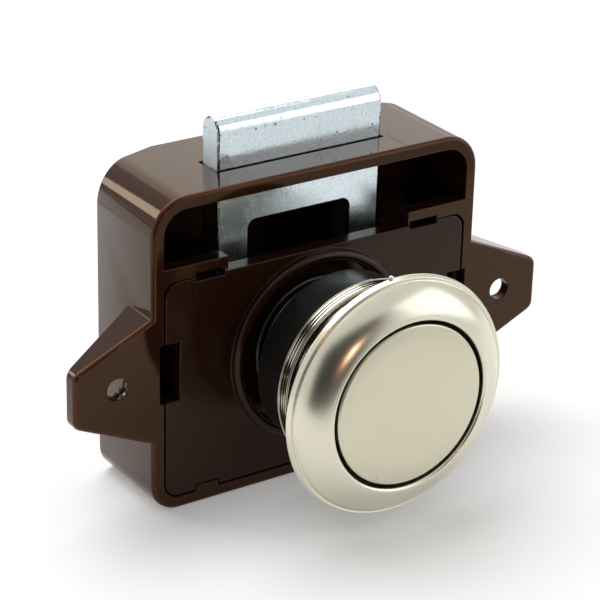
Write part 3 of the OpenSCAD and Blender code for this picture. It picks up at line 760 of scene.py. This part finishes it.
class LOCK_OT_rosette(Operator):
    """Rosette: a turned profile with a barrel and its gripping ridges, a sloping rim, a domed front and a
    thin lip. The dome is an arc from the crease at the rim to the lip, and a smaller arc rounds the lip"""

    bl_idname = "lock.rosette"
    bl_label = "Rosette"

    def execute(self, context):
        s, c = context.scene.lock_sizes, context.scene.lock_finishes
        outer = ROSETTE_HIGH[0]
        front, rear = -ROSETTE_LOW[1], -ROSETTE_HIGH[1]
        bore, opening, lip_back = 12.25 * MM, 11.4 * MM, front - 1.25 * MM
        root, crest = s.barrel - s.groove, s.barrel - 0.12 * MM
        step = rear + 0.35 * MM
        groove_rear = rear + 1.9 * MM
        groove_front = groove_rear + 0.3 * MM
        groove_floor = crest - s.groove / 2
        ridge_end = groove_front + 1.7 * MM
        rim_slope = 0.38
        rim_edge, rim_front = outer - s.rim * rim_slope, SEAT + s.rim
        bends = rounded_profile([
            (bore, rear, 0.12 * MM), (s.barrel, rear, 0.12 * MM), (s.barrel, step, 0.08 * MM),
            (crest, step, 0.03 * MM), (crest, groove_rear, 0.08 * MM), (groove_floor, groove_rear, 0.05 * MM),
            (groove_floor, groove_front, 0.05 * MM), (crest, groove_front, 0.08 * MM),
            (crest, ridge_end, 0.1 * MM), (root, ridge_end, 0.1 * MM), (root, SEAT, 0.15 * MM),
            (outer, SEAT, s.rim_rounding), (rim_edge, rim_front, 0.12 * MM), (opening, rim_front, 0.0),
            (opening, lip_back, 0.08 * MM), (bore, lip_back, 0.1 * MM)])
        barrel, rim, inside = bends[:11], bends[11:13], bends[14:]

        # The dome would meet the rim in the crease; it begins a little higher, at its foot
        crease = np.array([outer - s.crease * 4 / 3, SEAT + s.crease])
        lip = np.array([opening, front])
        chord = np.linalg.norm(crease - lip)
        across = np.array([lip[1] - crease[1], crease[0] - lip[0]]) / chord
        middle = (crease + lip) / 2 - across * math.sqrt(s.dome ** 2 - chord ** 2 / 4)
        foot_height = SEAT + s.rim * 0.9
        foot = math.asin((foot_height - middle[1]) / s.dome)
        dome = arc(middle, s.dome, foot, math.atan2(*(lip - middle)[::-1]), 60)
        # The lip's arc starts about where its own slope meets the dome
        lip_r, lip_start = 0.38 * MM, math.radians(62)
        lip_reach, lip_drop = lip_r * 1.48, lip_r * 0.88
        dome = dome[dome[:, 0] > opening + lip_reach]
        lip_arc = arc((opening + lip_r, dome[-1, 1] - lip_drop), lip_r, lip_start, math.pi, 14)

        front_line = softened(joined(rim + [dome]), dome[0], 0.15 * MM)
        profile = joined(barrel + [front_line, lip_arc] + inside)
        piece = new_piece("turned_rosette", *turned_ring(profile, s.around), "root", "satin_nickel",
                          satin_nickel("satin_nickel_rosette", c.cast_nickel, 0.255, SEAT - 0.2 * MM))
        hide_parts("rosette")
        return {"FINISHED"}


class LOCK_OT_burr(Operator):
    """Casting burr on the rosette's rim: a ball that is stretched along the rim"""

    bl_idname = "lock.burr"
    bl_label = "Casting burr"

    def execute(self, context):
        c = context.scene.lock_finishes
        radius, stretch, turn = 0.30 * MM, 1.3, math.radians(94.5)
        rim = ROSETTE_HIGH[0]
        a = np.linspace(0, math.pi, 9)
        pts, faces = turned_solid(radius * np.stack([np.sin(a), np.cos(a)], 1), 20)
        pts = pts * (stretch, 1.0, 1.0) + (rim * math.cos(turn), -SEAT - radius, rim * math.sin(turn))
        new_piece("casting_burr", pts, faces, "root", "satin_nickel",
                  satin_nickel("satin_nickel_burr", c.cast_nickel, 0.25))
        return {"FINISHED"}


class LOCK_OT_button(Operator):
    """Button cap: a turned cup with a flat satin face, whose outer part falls off as a square to a small
    rolled edge"""

    bl_idname = "lock.button"
    bl_label = "Button cap"

    def execute(self, context):
        s, c = context.scene.lock_sizes, context.scene.lock_finishes
        r = BUTTON_HIGH[0] - 0.10 * MM
        front, rear = -BUTTON_LOW[1], -BUTTON_HIGH[1]
        wall, skin = 0.6 * MM, 0.8 * MM
        flat, fall_width, fall = 0.76 * r, 0.2 * r, 0.10 * MM
        edge = rounded_profile([
            (0.0, front, 0.0), (r, front, 0.26 * MM), (r, rear, 0.1 * MM), (r - wall, rear, 0.1 * MM),
            (r - wall, front - skin, 0.2 * MM), (0.0, front - skin, 0.0)], 8)
        spread = np.linspace(0, 1, 40)[1:, None]
        face = edge[0] + (edge[1][:1] - edge[0]) * spread
        drop = fall * np.clip((face[:, 0] - flat) / fall_width, 0, 1) ** 2
        face[:, 1] -= drop
        edge[1][:, 1] -= drop[-1]
        profile = np.concatenate([edge[0], face, edge[1][1:], *edge[2:]])
        marks = ((-4.9 * MM, -9.9 * MM, 0.6 * MM, 0.08 * MM, math.radians(46)),
                 (-2.1 * MM, -10.0 * MM, 0.11 * MM, 0.11 * MM, 0.0),
                 (-2.1 * MM, -8.0 * MM, 0.13 * MM, 0.10 * MM, 0.0),
                 (5.95 * MM, -6.85 * MM, 0.14 * MM, 0.08 * MM, 0.0))
        piece = new_piece("pressed_button", *turned_solid(profile, s.around), "knob", "satin_nickel",
                          satin_nickel("satin_nickel_button", c.nickel, 0.30, marks=marks))
        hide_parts("button_cap")
        return {"FINISHED"}


class LOCK_OT_knob(Operator):
    """Black knob body: a turned profile with its skirt, stop shoulder, hub and screw seat"""

    bl_idname = "lock.knob"
    bl_label = "Knob body"

    def execute(self, context):
        s, c = context.scene.lock_sizes, context.scene.lock_finishes
        front, rear = -KNOB_LOW[1], -KNOB_HIGH[1]
        skirt = KNOB_HIGH[0]
        shoulder = front - 6.6 * MM
        spring_seat = shoulder - 2.1 * MM
        hub, cavity, socket = 10.35 * MM, skirt - 1.3 * MM, 7.95 * MM
        shank, head = 1.8 * MM, 3.3 * MM
        head_seat, socket_floor = front - 2.5 * MM, spring_seat + 4.5 * MM
        bends = rounded_profile([
            (skirt, rear, 0.12 * MM), (skirt, shoulder, 0.2 * MM), (hub, shoulder, 0.1 * MM),
            (hub, front, 0.2 * MM), (head, front, 0.1 * MM), (head, head_seat, 0.1 * MM),
            (shank, head_seat, 0.1 * MM), (shank, socket_floor, 0.1 * MM), (socket, socket_floor, 0.1 * MM),
            (socket, spring_seat, 0.15 * MM), (cavity, spring_seat, 0.3 * MM), (cavity, rear, 0.2 * MM)])
        piece = new_piece("moulded_knob", *turned_ring(joined(bends), s.around), "knob", "black_plastic",
                          black_plastic("black_plastic", c.black))
        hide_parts("knob_body")
        return {"FINISHED"}


class LOCK_OT_spring(Operator):
    """Main spring, which on the real lock grows longer as the knob comes out but here keeps one length: a
    round wire along a helix. It rises by one wire a turn in the closed turn at each end, and evenly in
    between"""

    bl_idname = "lock.spring"
    bl_label = "Main spring"

    def execute(self, context):
        s, c = context.scene.lock_sizes, context.scene.lock_finishes
        wire = s.spring_wire
        near, far = SPRING_HIGH[1], SPRING_LOW[1]
        length = near - far
        mean = SPRING_HIGH[0] - wire / 2
        turns = s.spring_turns + 2
        steps_per_turn, sides = 64, 14
        t = np.linspace(0, turns, turns * steps_per_turn + 1)
        open_rise = length - 3 * wire
        rise = np.where(t < 1, wire * (0.5 + t), np.where(
            t > turns - 1, length - wire * (0.5 + turns - t),
            wire * 1.5 + open_rise * (t - 1) / s.spring_turns))
        a = 2 * np.pi * t
        path = np.stack([mean * np.cos(a), near - rise, AXIS_Z + mean * np.sin(a)], 1)
        piece = new_piece("coiled_spring", *tube(path, wire / 2, sides), None, "spring_steel",
                          dark_steel("dark_spring_steel", c.steel))
        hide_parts("main_spring")
        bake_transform(piece)
        return {"FINISHED"}


class LOCK_OT_inside(Operator):
    """Finishes of the solids that keep their CAD surfaces: slider, cross pin, follower wire and screw"""

    bl_idname = "lock.inside"
    bl_label = "Inner parts"

    def execute(self, context):
        c = context.scene.lock_finishes
        steel = dark_steel("dark_steel", c.steel)
        for node, material in (("cam_slider", black_plastic("black_plastic_slider", c.black)),
                               ("cross_pin", steel), ("follower_wire", steel),
                               ("knob_screw", zinc_plate("zinc_plate_screw", c.zinc))):
            slots = NODES[node].material_slots
            if not slots:
                raise RuntimeError(f"{node} has no material slot")
            slots[0].link = "OBJECT"
            slots[0].material = material
        return {"FINISHED"}


# Stage


# Name, place, width and height, turn in degrees, power in watts and colour of each lamp
LAMPS = (
    ("top_soft_box", (-0.05, 0.25, 0.63), (0.8, 0.50), 0, 3.6, (1.0, 1.0, 1.0)),
    ("rear_soft_box", (0.28, 0.46, 0.28), (0.5, 0.35), 0, 0.43, (1.0, 0.92, 0.77)),
    ("right_soft_box", (0.46, -0.33, 0.215), (0.52, 0.46), 0, 0.79, (0.93, 0.97, 1.0)),
    ("left_strip_light", (-0.40, 0.55, 0.30), (0.2, 0.19), 0, 0.62, (1.0, 0.97, 0.93)),
    ("warm_lamp", (-0.022, -0.41, 0.074), (0.012, 0.012), 40, 0.032, (1.0, 0.90, 0.74)),
    ("warm_glow", (-0.030, -0.42, 0.070), (0.06, 0.05), 40, 0.042, (1.0, 0.46, 0.27)))


def area_lamp(name, place, size, turn, power, colour):
    """Rectangular lamp that is aimed at the origin and turned about its beam."""
    lamp = bpy.data.lights.new(name, "AREA")
    lamp.shape = "RECTANGLE"
    lamp.size, lamp.size_y = size
    lamp.energy = power
    lamp.color = colour
    holder = placed(name, lamp)
    holder.location = place
    aim = (-Vector(place)).to_track_quat("-Z", "Y") @ Quaternion((0, 0, 1), math.radians(turn))
    holder.rotation_euler = aim.to_euler()


def studio_world(light, shown):
    """White surroundings that give one strength of light and show the camera and mirrors another."""
    f = Shading(bpy.data.worlds.new("studio"))
    dim, bright = (f.node("ShaderNodeBackground", {}, {"Color": (1.0, 1.0, 1.0), "Strength": strength})
                   for strength in (light, shown))
    both = f.node("ShaderNodeMixShader", {}, {0: f.seen_directly(), 1: dim, 2: bright})
    f.node("ShaderNodeOutputWorld", {}, {"Surface": both}, None)
    return f.owner


def photo_camera(target, distance, azimuth, elevation, roll, focal_length):
    """Camera at a distance from its target, at two angles round it in radians, rolled about its axis."""
    lens = bpy.data.cameras.new("photo_camera")
    lens.sensor_width = 36.0
    lens.lens = focal_length
    lens.clip_start, lens.clip_end = 0.01, 10.0
    away = Vector((math.sin(azimuth) * math.cos(elevation), -math.cos(azimuth) * math.cos(elevation),
                   math.sin(elevation)))
    level = (-away).cross(Vector((0, 0, 1))).normalized()
    upright = level.cross(-away)
    right = level * math.cos(roll) + upright * math.sin(roll)
    up = upright * math.cos(roll) - level * math.sin(roll)
    view = Matrix((right, up, away)).transposed().to_4x4()
    view.translation = Vector(target) + away * distance
    camera = placed("photo_camera", lens)
    camera.matrix_world = view
    return camera


class LOCK_OT_stage(Operator):
    """White floor, dark card, soft studio lamps and the camera"""

    bl_idname = "lock.stage"
    bl_label = "Stage"

    def execute(self, context):
        scene = context.scene
        scene.view_settings.view_transform = "Standard"
        floor_z = CAD_BOX[0][2] - 0.02 * MM
        flat_sheet("floor", (0.0, 0.9625, floor_z), (2.0, 0.0, 0.0), (0.0, 1.0375, 0.0),
                   white_floor("white_floor", scene.lock_finishes.paper))
        card = flat_sheet("dark_card", (-0.19, -0.48, 0.14), (0.47, -0.18, 0.0), (0.0, 0.0, 0.42),
                          dark_cloth("dark_cloth", (0.03, 0.028, 0.026)))
        card.visible_camera = False
        scene.world = studio_world(light=0.25, shown=0.78)
        for lamp in LAMPS:
            area_lamp(*lamp)
        scene.camera = photo_camera(
            target=(-2.915 * MM, 0.0, 6.054 * MM), distance=318.5834 * MM, azimuth=math.radians(-34.0723),
            elevation=math.radians(24.7016), roll=math.radians(1.4737), focal_length=147.606)
        return {"FINISHED"}


class LOCK_PT_parts(Panel):
    """Lists the pieces of the lock in the sidebar"""

    bl_idname = "LOCK_PT_parts"
    bl_label = "Cabinet lock"
    bl_space_type = "VIEW_3D"
    bl_region_type = "UI"
    bl_category = "Cabinet lock"

    def draw(self, context):
        for step in STEPS:
            self.layout.operator(step.bl_idname)
        for group in (context.scene.lock_sizes, context.scene.lock_finishes):
            for key in group.__annotations__:
                self.layout.prop(group, key)


STEPS = (LOCK_OT_case, LOCK_OT_flash, LOCK_OT_cover, LOCK_OT_bolt, LOCK_OT_rosette, LOCK_OT_burr,
         LOCK_OT_button, LOCK_OT_knob, LOCK_OT_spring, LOCK_OT_inside, LOCK_OT_stage)
CLASSES = (LockSizes, LockFinishes, *STEPS, LOCK_PT_parts)


def register():
    for cls in CLASSES:
        bpy.utils.register_class(cls)
    bpy.types.Scene.lock_sizes = PointerProperty(type=LockSizes)
    bpy.types.Scene.lock_finishes = PointerProperty(type=LockFinishes)


def unregister():
    del bpy.types.Scene.lock_finishes
    del bpy.types.Scene.lock_sizes
    for cls in reversed(CLASSES):
        bpy.utils.unregister_class(cls)


def main():
    register()
    for step in STEPS:
        group, name = step.bl_idname.split(".")
        getattr(getattr(bpy.ops, group), name)()


if __name__ == "__main__":
    main()
